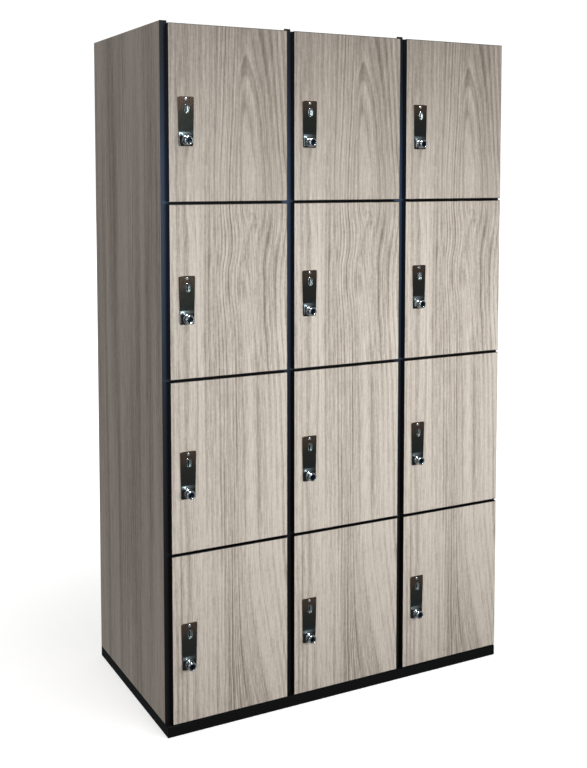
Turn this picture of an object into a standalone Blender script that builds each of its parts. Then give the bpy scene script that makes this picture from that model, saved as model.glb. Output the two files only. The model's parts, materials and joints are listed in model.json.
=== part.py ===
"""Coin operated locker: a free-standing bank of twelve compartments, three
columns by four tiers, with wood laminate doors, a black steel face frame and
a coin lock on every door.

Units are metres, +Z is up, the doors face -Y.  The origin is the middle of the
footprint on the floor.  Lengths below are written in "locker" coordinates:
x runs from the outer left side to the right, y runs from the plane of the door
faces to the back, z runs up from the floor.  place() turns them into the
model's frame.

Every door hangs on two lift-off pins of the face frame and carries its own
hinge leaf and coin lock.  The lock's plug, spindle and cam are one turning
piece.  The doors are modelled shut, with the cams hanging down (unlocked).
"""

from math import cos, pi, radians, sin

import bmesh
import bpy
from mathutils import Matrix, Vector

# ---------------------------------------------------------------- dimensions
GAP = 0.0003                  # clearance left between neighbouring pieces

COLUMNS = 3
TIERS = 4

WIDTH = 1.081                 # over the two end panels
DEPTH = 0.562                 # door faces to back
HEIGHT = 1.8675               # floor to the top of the end panels
TOP_RECESS = 0.0055           # the top board lies this far below them

PLINTH_HEIGHT = 0.029
PLINTH_WIDTH = 1.073          # flush with the left side, ends with the last door
PLINTH_WALL = 0.024

PANEL = 0.018                 # shelves, dividers, top and bottom
END_PANEL = 0.019
BACK_PANEL = 0.006

DOOR_WIDTH = 0.338
DOOR_HEIGHT = 0.45275
DOOR_THICK = 0.018
DOOR_EDGE = 0.0008            # softened edge of the door
COLUMN_PITCH = 0.360
TIER_PITCH = 0.45875          # a 6 mm gap between doors
FIRST_DOOR_X = 0.015
FIRST_DOOR_Z = 0.0315

FRAME_FRONT = 0.0195          # front plane of the face frame
FRAME_THICK = 0.003
OPENING_WIDTH = 0.300
OPENING_INSET = 0.023         # door edge to frame opening, on the lock side
RAIL_HALF = 0.012             # half height of the rails between tiers
BOTTOM_RAIL_TOP = 0.0505
TOP_RAIL_BOTTOM = 1.8405
TOP_RAIL_TOP = 1.860          # only the uprights stand higher, edge to edge

CARCASS_FRONT = FRAME_FRONT + FRAME_THICK + GAP
CARCASS_BOTTOM = PLINTH_HEIGHT + GAP
LAP_Y = 0.2893                # where shelves and dividers cross-lap

# hinge
HINGE_AXIS_X = 0.004          # outside the door's edge
HINGE_AXIS_Y = 0.0142
KNUCKLE_R = 0.0035
KNUCKLE_BORE_R = 0.0022
PIN_R = 0.0019
KNUCKLE_HEIGHT = 0.030
KNUCKLE_FROM_END = 0.060      # middle of a hinge to the door's end
LUG_HEIGHT = 0.012
LUG_R = 0.0033
PIN_HEIGHT = 0.024
LEAF_THICK = 0.0013
LEAF_WIDTH = 0.026
LEAF_END = 0.020              # leaf's end to the door's end
MORTISE_DEPTH = 0.0019

# coin lock, measured from the middle of the top edge of its face plate
PLATE_FROM_EDGE = 0.0465      # lock's centre line to the door's free edge
PLATE_FROM_TOP = 0.184        # top of the plate to the top of the door
PLATE_HEIGHT = 0.126
PLATE_TOP_WIDTH = 0.045
PLATE_BOTTOM_WIDTH = 0.0395
PLATE_THICK = 0.002
PLATE_CORNER_R = 0.0035
PLATE_EDGE = 0.0005
SHOULDER_RISE = 0.0023        # raised lower end of the plate
SHOULDER_TOP = 0.091
SHOULDER_RAMP = 0.007
LOCK_AXIS_DOWN = 0.1115       # plate's top edge to the cylinder's axis
BARREL_REACH = 0.0225         # from the door's face
BARREL_R = 0.0110             # near the barrel's round end
COLLAR_R = 0.0125
COLLAR_LENGTH = 0.0024
BORE_R = 0.0076
PLUG_R = 0.0073
PLUG_RECESS = 0.0012
KEYWAY = (0.0019, 0.0090, 0.0080)
CASE_HALF_WIDTH = 0.017
CASE_DEPTH = 0.046            # back of the coin case, from the door's face
CASE_TOP = 0.012
NECK_BELOW_AXIS = 0.0103
NECK_BACK = 0.0200
REAR_BOSS_R = 0.0098
REAR_BOSS_END = 0.0237
SLOT_CENTRE_DOWN = 0.031
SLOT_CENTRE_X = 0.0022
SLOT_MOUTH = (0.0135, 0.0235)
SLOT_THROAT = (0.0032, 0.0215)
SLOT_FUNNEL_DEPTH = 0.0045
SLOT_DEPTH = 0.030

CAM_FRONT = REAR_BOSS_END + GAP
CAM_THICK = 0.0025
CAM_REACH = 0.0345
CAM_HALF_WIDTH = 0.0062
CAM_HUB_R = 0.0085
SPINDLE_R = 0.0050
NUT_R = 0.0063
NUT_THICK = 0.0045

ROUND = 16                    # sides of the lock's round pieces
SMALL_ROUND = 10              # sides of the hinge's round pieces

# the front of the bounding box is the ring of the lock barrels
DOOR_FACE_Y = (BARREL_REACH - DEPTH) / 2
LEFT_X = -WIDTH / 2


# ------------------------------------------------------------------- helpers
def place(x, y, z):
    """Locker coordinates to the model's frame."""
    return Vector((LEFT_X + x, DOOR_FACE_Y + y, z))


def clear_scene():
    for obj in list(bpy.data.objects):
        bpy.data.objects.remove(obj, do_unlink=True)
    for block in (bpy.data.meshes, bpy.data.curves, bpy.data.materials):
        for item in list(block):
            if item.users == 0:
                block.remove(item)


def principled(name, colour, roughness, metallic):
    mat = bpy.data.materials.new(name)
    mat.use_nodes = True
    mat.diffuse_color = (*colour, 1.0)
    shader = mat.node_tree.nodes["Principled BSDF"]
    shader.inputs["Base Color"].default_value = (*colour, 1.0)
    shader.inputs["Roughness"].default_value = roughness
    shader.inputs["Metallic"].default_value = metallic
    return mat


def mesh_from(bm, name):
    bmesh.ops.recalc_face_normals(bm, faces=bm.faces)
    mesh = bpy.data.meshes.new(name)
    bm.to_mesh(mesh)
    bm.free()
    return mesh


def link(name, mesh, location=(0.0, 0.0, 0.0)):
    obj = bpy.data.objects.new(name, mesh)
    obj.location = location
    bpy.context.scene.collection.objects.link(obj)
    return obj


def add_box(bm, low, high):
    """A box between two corners, added to a bmesh."""
    low, high = Vector(low), Vector(high)
    size, middle = high - low, (high + low) / 2
    matrix = Matrix.Translation(middle) @ Matrix.Diagonal((*size, 1.0))
    return bmesh.ops.create_cube(bm, size=1.0, matrix=matrix)["verts"]


def box_mesh(name, low, high):
    bm = bmesh.new()
    add_box(bm, low, high)
    return mesh_from(bm, name)


def prism_mesh(name, outline, low, high, axis):
    """An outline of (u, v) pairs extruded along an axis.

    axis "X": u, v are y, z; axis "Y": u, v are x, z; axis "Z": u, v are x, y.
    """
    def point(u, v, w):
        return {"X": (w, u, v), "Y": (u, w, v), "Z": (u, v, w)}[axis]

    bm = bmesh.new()
    face = bm.faces.new([bm.verts.new(point(u, v, low)) for u, v in outline])
    out = bmesh.ops.extrude_face_region(bm, geom=[face])
    moved = [e for e in out["geom"] if isinstance(e, bmesh.types.BMVert)]
    bmesh.ops.translate(bm, verts=moved, vec=Vector(point(0, 0, high - low)))
    return mesh_from(bm, name)


def turned_mesh(name, profile, sides):
    """A (radius, y) profile, from axis to axis, turned about the Y axis."""
    bm = bmesh.new()
    verts = [bm.verts.new((r, y, 0.0)) for r, y in profile]
    edges = [bm.edges.new(pair) for pair in zip(verts, verts[1:])]
    bmesh.ops.spin(
        bm, geom=verts + edges, cent=(0, 0, 0), axis=(0, 1, 0),
        angle=2 * pi, steps=sides, use_merge=True,
    )
    bmesh.ops.remove_doubles(bm, verts=bm.verts, dist=0.00001)
    return mesh_from(bm, name)


def circle(radius, sides, cu=0.0, cv=0.0, turn=0.0):
    return [
        (cu + radius * cos(turn + 2 * pi * i / sides),
         cv + radius * sin(turn + 2 * pi * i / sides))
        for i in range(sides)
    ]


def rounded(corners, radius, steps):
    """A convex outline with each corner replaced by an arc."""
    out = []
    for i, corner in enumerate(corners):
        c = Vector(corner)
        a = (Vector(corners[i - 1]) - c).normalized()
        b = (Vector(corners[(i + 1) % len(corners)]) - c).normalized()
        half = a.angle(b) / 2
        centre = c + (a + b).normalized() * (radius / sin(half))
        start = c + a * (radius / (sin(half) / cos(half))) - centre
        end = c + b * (radius / (sin(half) / cos(half))) - centre
        for k in range(steps + 1):
            arm = start.slerp(end, k / steps).normalized()
            out.append(tuple(centre + arm * radius))
    return out


def helper(name, mesh):
    """An object that only shapes others."""
    obj = link(name, mesh)
    obj.hide_render = True
    obj.display_type = "WIRE"
    return obj


def combine(base, steps, name):
    """base mesh with (operation, mesh) Booleans in turn, as one new mesh."""
    obj = link(name + "_base", base)
    helpers = []
    for i, (operation, mesh) in enumerate(steps):
        tool = helper(f"{name}_tool_{i}", mesh)
        mod = obj.modifiers.new(f"{operation.lower()}_{i}", "BOOLEAN")
        mod.operation = operation
        mod.solver = "EXACT"
        mod.object = tool
        helpers.append(tool)
    bpy.context.view_layer.update()
    graph = bpy.context.evaluated_depsgraph_get()
    result = bpy.data.meshes.new_from_object(obj.evaluated_get(graph))
    result.name = name
    for item in [obj, *helpers]:
        mesh = item.data
        bpy.data.objects.remove(item, do_unlink=True)
        if mesh.users == 0:
            bpy.data.meshes.remove(mesh)
    tidy(result)
    return result


def tidy(mesh):
    """Merge the faces a Boolean leaves split, and drop loose points."""
    bm = bmesh.new()
    bm.from_mesh(mesh)
    bmesh.ops.remove_doubles(bm, verts=bm.verts, dist=0.000005)
    bmesh.ops.dissolve_limit(
        bm, angle_limit=radians(0.05), verts=bm.verts, edges=bm.edges
    )
    bmesh.ops.triangulate(bm, faces=[f for f in bm.faces if len(f.verts) > 4])
    bm.to_mesh(mesh)
    bm.free()


def smooth(mesh, degrees=30):
    mesh.shade_smooth()
    mesh.set_sharp_from_angle(angle=radians(degrees))


def give(obj, material):
    obj.data.materials.clear()
    obj.data.materials.append(material)


# ----------------------------------------------------------------- materials
clear_scene()

LAMINATE = principled("laminate", (0.50, 0.44, 0.385), 0.48, 0.0)
END_LAMINATE = principled("end_laminate", (0.36, 0.325, 0.29), 0.50, 0.0)
INNER_LAMINATE = principled("inner_laminate", (0.055, 0.056, 0.06), 0.55, 0.0)
FRAME_PAINT = principled("frame_paint", (0.020, 0.023, 0.032), 0.42, 0.0)
PLINTH_PAINT = principled("plinth_paint", (0.012, 0.012, 0.013), 0.50, 0.0)
HINGE_STEEL = principled("hinge_steel", (0.03, 0.03, 0.035), 0.38, 0.6)
LOCK_CHROME = principled("lock_chrome", (0.09, 0.09, 0.085), 0.14, 1.0)
PLUG_STEEL = principled("plug_steel", (0.32, 0.34, 0.37), 0.20, 1.0)


# -------------------------------------------------------------------- layout
def door_x(column):
    return FIRST_DOOR_X + (column - 1) * COLUMN_PITCH


def door_z(tier):
    """Bottom of a door; tier 1 is the top one."""
    return FIRST_DOOR_Z + (TIERS - tier) * TIER_PITCH


def shelf_z(tier):
    """Middle of the shelf below a tier."""
    return door_z(tier) - (TIER_PITCH - DOOR_HEIGHT) / 2


def divider_x(column):
    """Left face of the divider to the right of a column."""
    gap_middle = door_x(column) + (DOOR_WIDTH + COLUMN_PITCH) / 2
    return gap_middle - PANEL / 2


def hinge_axis_x(column):
    return door_x(column) + DOOR_WIDTH + HINGE_AXIS_X


def hinge_heights(tier):
    """Where the two knuckles of a door stand on their lugs."""
    return (
        door_z(tier) + KNUCKLE_FROM_END - KNUCKLE_HEIGHT / 2,
        door_z(tier) + DOOR_HEIGHT - KNUCKLE_FROM_END - KNUCKLE_HEIGHT / 2,
    )


# ------------------------------------------------------------------- carcass
def panel(name, low, high, material, cuts=()):
    """A board between two corners in locker coordinates, with slots cut."""
    middle = place(*((a + b) / 2 for a, b in zip(low, high)))
    base = box_mesh(name, place(*low) - middle, place(*high) - middle)
    if cuts:
        bm = bmesh.new()
        for a, b in cuts:
            add_box(bm, place(*a) - middle, place(*b) - middle)
        base = combine(base, [("DIFFERENCE", mesh_from(bm, name + "_cuts"))], name)
    obj = link(name, base, middle)
    give(obj, material)
    return obj


carcass = bpy.data.objects.new("carcass", None)
carcass.empty_display_size = 0.2
bpy.context.scene.collection.objects.link(carcass)

TOP = HEIGHT - TOP_RECESS
boards = [
    panel("left_end_panel",
          (0, CARCASS_FRONT, CARCASS_BOTTOM), (END_PANEL, DEPTH, HEIGHT),
          END_LAMINATE),
    panel("right_end_panel",
          (WIDTH - END_PANEL, CARCASS_FRONT, CARCASS_BOTTOM),
          (WIDTH, DEPTH, TOP), END_LAMINATE),
]
INNER_LEFT = END_PANEL + GAP
INNER_RIGHT = WIDTH - END_PANEL - GAP
INNER_BACK = DEPTH - BACK_PANEL - GAP

boards += [
    panel("top_panel",
          (INNER_LEFT, CARCASS_FRONT, TOP - PANEL),
          (INNER_RIGHT, INNER_BACK, TOP), END_LAMINATE),
    panel("bottom_panel",
          (INNER_LEFT, CARCASS_FRONT, CARCASS_BOTTOM),
          (INNER_RIGHT, INNER_BACK, CARCASS_BOTTOM + PANEL), INNER_LAMINATE),
    panel("back_panel",
          (INNER_LEFT, DEPTH - BACK_PANEL, CARCASS_BOTTOM),
          (INNER_RIGHT, DEPTH, TOP), INNER_LAMINATE),
]

# dividers are slotted from the back and shelves from the front
for column in range(1, COLUMNS):
    x = divider_x(column)
    slots = [
        ((x - 0.01, LAP_Y - GAP, shelf_z(t) - PANEL / 2 - GAP),
         (x + PANEL + 0.01, DEPTH + 0.01, shelf_z(t) + PANEL / 2 + GAP))
        for t in range(1, TIERS)
    ]
    boards.append(
        panel(f"divider_{column}",
              (x, CARCASS_FRONT, CARCASS_BOTTOM + PANEL + GAP),
              (x + PANEL, INNER_BACK, TOP - PANEL - GAP),
              INNER_LAMINATE, slots)
    )
for tier in range(1, TIERS):
    z = shelf_z(tier)
    slots = [
        ((divider_x(c) - GAP, -0.01, z - PANEL), (divider_x(c) + PANEL + GAP, LAP_Y + GAP, z + PANEL))
        for c in range(1, COLUMNS)
    ]
    boards.append(
        panel(f"shelf_{tier}",
              (INNER_LEFT, CARCASS_FRONT, z - PANEL / 2),
              (INNER_RIGHT, INNER_BACK, z + PANEL / 2),
              INNER_LAMINATE, slots)
    )

boards.append(
    panel("base_plinth", (0, 0, 0), (PLINTH_WIDTH, DEPTH, PLINTH_HEIGHT),
          PLINTH_PAINT,
          [((PLINTH_WALL, PLINTH_WALL, -0.01),
            (PLINTH_WIDTH - PLINTH_WALL, DEPTH - PLINTH_WALL, PLINTH_HEIGHT + 0.01))])
)


# ---------------------------------------------------------------- face frame
def frame_openings():
    bm = bmesh.new()
    for column in range(1, COLUMNS + 1):
        for tier in range(1, TIERS + 1):
            low_x = door_x(column) + OPENING_INSET
            low_z = BOTTOM_RAIL_TOP if tier == TIERS else shelf_z(tier) + RAIL_HALF
            high_z = TOP_RAIL_BOTTOM if tier == 1 else shelf_z(tier - 1) - RAIL_HALF
            add_box(bm, place(low_x, 0.0, low_z),
                    place(low_x + OPENING_WIDTH, 0.05, high_z))
        # above the top rail only the uprights go on, as wide as the boards,
        # and the right-hand one stops with the top board, for the next bank
        left = END_PANEL if column == 1 else divider_x(column - 1) + PANEL
        right = WIDTH + 0.01 if column == COLUMNS else divider_x(column)
        add_box(bm, place(left, 0.0, TOP_RAIL_TOP), place(right, 0.05, HEIGHT + 0.01))
    return mesh_from(bm, "frame_openings")


def frame_lugs():
    """Round-nosed lugs, one under each knuckle, rooted in the frame."""
    bm = bmesh.new()
    for column in range(1, COLUMNS + 1):
        for tier in range(1, TIERS + 1):
            for foot in hinge_heights(tier):
                c = place(hinge_axis_x(column), HINGE_AXIS_Y, foot - GAP - LUG_HEIGHT)
                nose = [
                    (c.x + LUG_R * cos(a), c.y + LUG_R * sin(a))
                    for a in (pi + pi * k / 4 for k in range(5))
                ]
                root = place(0, FRAME_FRONT + FRAME_THICK / 2, 0).y
                outline = nose + [(c.x + LUG_R, root), (c.x - LUG_R, root)]
                lower = [bm.verts.new((u, v, c.z)) for u, v in outline]
                face = bm.faces.new(lower)
                out = bmesh.ops.extrude_face_region(bm, geom=[face])
                moved = [e for e in out["geom"] if isinstance(e, bmesh.types.BMVert)]
                bmesh.ops.translate(bm, verts=moved, vec=(0, 0, LUG_HEIGHT))
    return mesh_from(bm, "frame_lugs")


def frame_pins():
    """The upright pins that the knuckles turn on."""
    bm = bmesh.new()
    for column in range(1, COLUMNS + 1):
        for tier in range(1, TIERS + 1):
            for foot in hinge_heights(tier):
                low = foot - GAP - LUG_HEIGHT / 2
                high = foot - GAP + PIN_HEIGHT
                middle = place(hinge_axis_x(column), HINGE_AXIS_Y, (low + high) / 2)
                bmesh.ops.create_cone(
                    bm, cap_ends=True, segments=SMALL_ROUND,
                    radius1=PIN_R, radius2=PIN_R, depth=high - low,
                    matrix=Matrix.Translation(middle),
                )
    return mesh_from(bm, "frame_pins")


sheet = box_mesh("front_frame", place(0, FRAME_FRONT, CARCASS_BOTTOM),
                 place(WIDTH, FRAME_FRONT + FRAME_THICK, HEIGHT))
front_frame = link("front_frame", combine(
    sheet,
    [("DIFFERENCE", frame_openings()),
     ("UNION", frame_lugs()),
     ("UNION", frame_pins())],
    "front_frame"))
smooth(front_frame.data)
give(front_frame, FRAME_PAINT)

for board in [*boards, front_frame]:
    board.parent = carcass


# ---------------------------------------------------------------------- door
# Door pieces are modelled about the hinge axis, at the height of the door's
# bottom edge: x = 0 and y = 0 on the axis.
def from_axis(x, y, z):
    """Door coordinates (x from the free edge, y from the face) to the axis."""
    return (x - DOOR_WIDTH - HINGE_AXIS_X, y - HINGE_AXIS_Y, z)


PLATE_TOP_Z = DOOR_HEIGHT - PLATE_FROM_TOP
LOCK_AXIS_Z = PLATE_TOP_Z - LOCK_AXIS_DOWN
LEAF_LOW, LEAF_HIGH = LEAF_END, DOOR_HEIGHT - LEAF_END
LEAF_BACK = HINGE_AXIS_Y + KNUCKLE_R


def door_mesh():
    slab = link("door_slab", box_mesh("door_slab", from_axis(0, 0, 0),
                                      from_axis(DOOR_WIDTH, DOOR_THICK, DOOR_HEIGHT)))
    bevel = slab.modifiers.new("edge", "BEVEL")
    bevel.width = DOOR_EDGE
    bevel.segments = 1
    bpy.context.view_layer.update()
    graph = bpy.context.evaluated_depsgraph_get()
    board = bpy.data.meshes.new_from_object(slab.evaluated_get(graph))
    bpy.data.objects.remove(slab, do_unlink=True)
    cutout = box_mesh(
        "lock_cutout",
        from_axis(PLATE_FROM_EDGE - CASE_HALF_WIDTH - GAP, -0.01,
                  LOCK_AXIS_Z - NECK_BELOW_AXIS - GAP),
        from_axis(PLATE_FROM_EDGE + CASE_HALF_WIDTH + GAP, DOOR_THICK + 0.01,
                  PLATE_TOP_Z - CASE_TOP + GAP))
    mortise = box_mesh(
        "leaf_mortise",
        from_axis(DOOR_WIDTH - LEAF_WIDTH - GAP, DOOR_THICK - MORTISE_DEPTH,
                  LEAF_LOW - GAP),
        from_axis(DOOR_WIDTH + 0.01, DOOR_THICK + 0.01, LEAF_HIGH + GAP))
    return combine(board, [("DIFFERENCE", cutout), ("DIFFERENCE", mortise)], "door")


def leaf_mesh():
    """The door's hinge leaf: a full-height strip rolled into two knuckles."""
    strip = box_mesh(
        "leaf_strip",
        from_axis(DOOR_WIDTH - LEAF_WIDTH, LEAF_BACK - LEAF_THICK, LEAF_LOW),
        from_axis(DOOR_WIDTH - 0.0006, LEAF_BACK, LEAF_HIGH))
    rolls, bores, tabs = bmesh.new(), bmesh.new(), bmesh.new()
    for foot in (KNUCKLE_FROM_END, DOOR_HEIGHT - KNUCKLE_FROM_END):
        low, high = foot - KNUCKLE_HEIGHT / 2, foot + KNUCKLE_HEIGHT / 2
        bmesh.ops.create_cone(
            rolls, cap_ends=True, segments=SMALL_ROUND, radius1=KNUCKLE_R,
            radius2=KNUCKLE_R, depth=high - low,
            matrix=Matrix.Translation((0, 0, foot)))
        bmesh.ops.create_cone(
            bores, cap_ends=True, segments=SMALL_ROUND, radius1=KNUCKLE_BORE_R,
            radius2=KNUCKLE_BORE_R, depth=high - low + 0.01,
            matrix=Matrix.Translation((0, 0, foot)))
        add_box(tabs, from_axis(DOOR_WIDTH - 0.002, LEAF_BACK - LEAF_THICK, low),
                (0.0, KNUCKLE_R, high))
    return combine(
        strip,
        [("UNION", mesh_from(tabs, "leaf_tabs")),
         ("UNION", mesh_from(rolls, "leaf_rolls")),
         ("DIFFERENCE", mesh_from(bores, "leaf_bores"))],
        "hinge_leaf")


# ----------------------------------------------------------------- coin lock
# Lock pieces are modelled about the cylinder's axis: x = 0 and z = 0 on it,
# y = 0 in the plane of the door's face.
def plate_outline(inset=0.0):
    top, bottom = PLATE_TOP_WIDTH / 2 - inset, PLATE_BOTTOM_WIDTH / 2 - inset
    high = LOCK_AXIS_DOWN - inset
    low = LOCK_AXIS_DOWN - PLATE_HEIGHT + inset
    return rounded([(-top, high), (-bottom, low), (bottom, low), (top, high)],
                   PLATE_CORNER_R - inset, 2)


def plate_mesh():
    """The face plate: a tapered plate with round corners and a soft edge."""
    bm = bmesh.new()
    rings = []
    for inset, y in ((0.0, -GAP), (0.0, -GAP - PLATE_THICK + PLATE_EDGE),
                     (PLATE_EDGE, -GAP - PLATE_THICK)):
        rings.append([bm.verts.new((x, y, z)) for x, z in plate_outline(inset)])
    for a, b in zip(rings, rings[1:]):
        for i in range(len(a)):
            j = (i + 1) % len(a)
            bm.faces.new((a[i], a[j], b[j], b[i]))
    bm.faces.new(rings[0])
    bm.faces.new(list(reversed(rings[-1])))
    return mesh_from(bm, "plate")


def tapered_block(name, back, front):
    """A block between two rectangles (y, x_low, x_high, z_low, z_high)."""
    bm = bmesh.new()
    loops = []
    for y, x0, x1, z0, z1 in (back, front):
        loops.append([bm.verts.new(p) for p in
                      ((x0, y, z0), (x1, y, z0), (x1, y, z1), (x0, y, z1))])
    bmesh.ops.bridge_loops(bm, edges=[
        bm.edges.new((loop[i], loop[(i + 1) % 4])) for loop in loops for i in range(4)])
    for loop in loops:
        bm.faces.new(loop)
    return mesh_from(bm, name)


def shoulder_mesh():
    """The raised lower end of the plate, with a ramp above it."""
    face = -GAP - PLATE_THICK
    z_top = LOCK_AXIS_DOWN - SHOULDER_TOP
    z_low = LOCK_AXIS_DOWN - PLATE_HEIGHT
    half = PLATE_BOTTOM_WIDTH / 2
    return tapered_block(
        "shoulder",
        (face + 0.0006, -half + 0.0006, half - 0.0006, z_low + 0.0012, z_top),
        (face - SHOULDER_RISE, -half + 0.0022, half - 0.0022,
         z_low + 0.0030, z_top - SHOULDER_RAMP))


def coin_lock_mesh():
    plate_top = LOCK_AXIS_DOWN
    face = -GAP - PLATE_THICK
    neck = prism_mesh("lock_case", [
        (face + 0.001, plate_top - CASE_TOP), (CASE_DEPTH, plate_top - CASE_TOP),
        (CASE_DEPTH, 0.0145), (NECK_BACK, 0.0145),
        (NECK_BACK, -NECK_BELOW_AXIS), (face + 0.001, -NECK_BELOW_AXIS),
    ], -CASE_HALF_WIDTH, CASE_HALF_WIDTH, "X")
    shoulder = face - SHOULDER_RISE
    barrel = turned_mesh("barrel", [
        (0, shoulder + 0.001), (COLLAR_R, shoulder + 0.001),
        (COLLAR_R, shoulder - COLLAR_LENGTH + 0.0006),
        (COLLAR_R - 0.0006, shoulder - COLLAR_LENGTH),
        (BARREL_R, -BARREL_REACH + 0.0034),
        (BARREL_R - 0.0009, -BARREL_REACH + 0.0010),
        (BARREL_R - 0.0024, -BARREL_REACH), (0, -BARREL_REACH),
    ], ROUND)
    boss = turned_mesh("rear_boss", [
        (0, NECK_BACK - 0.001), (REAR_BOSS_R, NECK_BACK - 0.001),
        (REAR_BOSS_R, REAR_BOSS_END), (0, REAR_BOSS_END)], ROUND)
    bore = turned_mesh("bore", [
        (0, -BARREL_REACH - 0.01), (BORE_R, -BARREL_REACH - 0.01),
        (BORE_R, REAR_BOSS_END + 0.01), (0, REAR_BOSS_END + 0.01)], ROUND)
    slot_z = plate_top - SLOT_CENTRE_DOWN
    mouth, throat = SLOT_MOUTH, SLOT_THROAT
    grow = 0.0002 / SLOT_FUNNEL_DEPTH
    funnel = tapered_block(
        "slot_funnel",
        (face + SLOT_FUNNEL_DEPTH, SLOT_CENTRE_X - throat[0] / 2,
         SLOT_CENTRE_X + throat[0] / 2, slot_z - throat[1] / 2, slot_z + throat[1] / 2),
        (face - 0.0002,
         SLOT_CENTRE_X - mouth[0] / 2 - grow * (mouth[0] - throat[0]) / 2,
         SLOT_CENTRE_X + mouth[0] / 2 + grow * (mouth[0] - throat[0]) / 2,
         slot_z - mouth[1] / 2 - grow * (mouth[1] - throat[1]) / 2,
         slot_z + mouth[1] / 2 + grow * (mouth[1] - throat[1]) / 2))
    slit = box_mesh("slot_throat",
                    (SLOT_CENTRE_X - throat[0] / 2, face + SLOT_FUNNEL_DEPTH - 0.0005,
                     slot_z - throat[1] / 2),
                    (SLOT_CENTRE_X + throat[0] / 2, SLOT_DEPTH, slot_z + throat[1] / 2))
    mesh = combine(plate_mesh(), [
        ("UNION", shoulder_mesh()), ("UNION", neck), ("UNION", barrel),
        ("UNION", boss), ("DIFFERENCE", bore), ("DIFFERENCE", funnel),
        ("DIFFERENCE", slit)], "coin_lock")
    smooth(mesh, 35)
    return mesh


def lock_cylinder_mesh():
    """Plug, spindle, cam and nut, with the cam hanging down."""
    plug = turned_mesh("plug", [
        (0, -BARREL_REACH + PLUG_RECESS),
        (PLUG_R - 0.0005, -BARREL_REACH + PLUG_RECESS),
        (PLUG_R, -BARREL_REACH + PLUG_RECESS + 0.0005),
        (PLUG_R, REAR_BOSS_END - GAP), (SPINDLE_R, REAR_BOSS_END - GAP),
        (SPINDLE_R, CAM_FRONT + 0.001), (0, CAM_FRONT + 0.001)], ROUND)
    tip = CAM_REACH - CAM_HALF_WIDTH
    end = [(CAM_HALF_WIDTH * cos(a), -tip + CAM_HALF_WIDTH * sin(a))
           for a in (pi + pi * k / 4 for k in range(5))]
    spread = 0.0065
    hub = [(CAM_HUB_R * cos(a), CAM_HUB_R * sin(a))
           for a in (-pi / 4 + (3 * pi / 2) * k / 6 for k in range(7))]
    outline = end + [(CAM_HALF_WIDTH, -spread)] + hub + [(-CAM_HALF_WIDTH, -spread)]
    cam = prism_mesh("cam", outline, CAM_FRONT, CAM_FRONT + CAM_THICK, "Y")
    nut = prism_mesh("nut", circle(NUT_R, 6), CAM_FRONT + CAM_THICK - 0.0008,
                     CAM_FRONT + CAM_THICK + NUT_THICK, "Y")
    keyway = box_mesh(
        "keyway", (-KEYWAY[0] / 2, -BARREL_REACH - 0.01, -KEYWAY[1] / 2),
        (KEYWAY[0] / 2, -BARREL_REACH + PLUG_RECESS + KEYWAY[2], KEYWAY[1] / 2))
    mesh = combine(plug, [("UNION", cam), ("UNION", nut), ("DIFFERENCE", keyway)],
                   "lock_cylinder")
    smooth(mesh, 35)
    return mesh


# ------------------------------------------------------- doors in the locker
DOOR, LEAF = door_mesh(), leaf_mesh()
COIN_LOCK, CYLINDER = coin_lock_mesh(), lock_cylinder_mesh()
for shared, material in ((DOOR, LAMINATE), (LEAF, HINGE_STEEL),
                         (COIN_LOCK, LOCK_CHROME), (CYLINDER, PLUG_STEEL)):
    shared.materials.clear()
    shared.materials.append(material)
smooth(LEAF)

LOCK_ON_DOOR = Vector(from_axis(PLATE_FROM_EDGE, 0, LOCK_AXIS_Z))

for column in range(1, COLUMNS + 1):
    for tier in range(1, TIERS + 1):
        where = f"c{column}_t{tier}"
        door = link(f"door_{where}", DOOR,
                    place(hinge_axis_x(column), HINGE_AXIS_Y, door_z(tier)))
        door.parent = carcass
        leaf = link(f"hinge_leaf_{where}", LEAF)
        leaf.parent = door
        lock = link(f"coin_lock_{where}", COIN_LOCK, LOCK_ON_DOOR)
        lock.parent = door
        cylinder = link(f"lock_cylinder_{where}", CYLINDER)
        cylinder.parent = lock
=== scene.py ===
"""Looks for the coin operated locker: laminate doors, face frame, coin locks,
hinges, boards and plinth, on a pale studio floor."""

import json
from math import atan2, cos, pi, radians, sin

import bmesh
import bpy
from mathutils import Euler, Matrix, Vector

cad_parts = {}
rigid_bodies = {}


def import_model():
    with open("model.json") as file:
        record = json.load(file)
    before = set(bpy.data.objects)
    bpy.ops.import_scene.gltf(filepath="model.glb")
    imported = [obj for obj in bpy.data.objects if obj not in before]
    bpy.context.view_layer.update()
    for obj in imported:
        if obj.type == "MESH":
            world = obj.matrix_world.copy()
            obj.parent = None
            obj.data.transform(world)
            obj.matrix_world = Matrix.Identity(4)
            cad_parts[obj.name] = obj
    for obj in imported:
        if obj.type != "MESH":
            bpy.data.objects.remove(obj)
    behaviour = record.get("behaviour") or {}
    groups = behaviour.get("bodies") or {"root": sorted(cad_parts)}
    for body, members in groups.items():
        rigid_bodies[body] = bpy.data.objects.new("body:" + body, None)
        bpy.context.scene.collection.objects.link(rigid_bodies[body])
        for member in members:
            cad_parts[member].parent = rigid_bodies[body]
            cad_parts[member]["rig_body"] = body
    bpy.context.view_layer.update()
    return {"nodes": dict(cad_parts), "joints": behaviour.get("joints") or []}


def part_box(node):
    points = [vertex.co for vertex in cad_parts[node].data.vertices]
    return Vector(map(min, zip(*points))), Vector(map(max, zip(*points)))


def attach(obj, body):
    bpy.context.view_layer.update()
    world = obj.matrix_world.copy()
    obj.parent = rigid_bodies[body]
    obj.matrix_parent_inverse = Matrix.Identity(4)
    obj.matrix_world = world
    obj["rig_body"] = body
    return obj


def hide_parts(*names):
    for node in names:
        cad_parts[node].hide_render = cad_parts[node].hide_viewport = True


for obj in list(bpy.data.objects):
    bpy.data.objects.remove(obj, do_unlink=True)

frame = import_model()
nodes = frame["nodes"]

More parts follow.
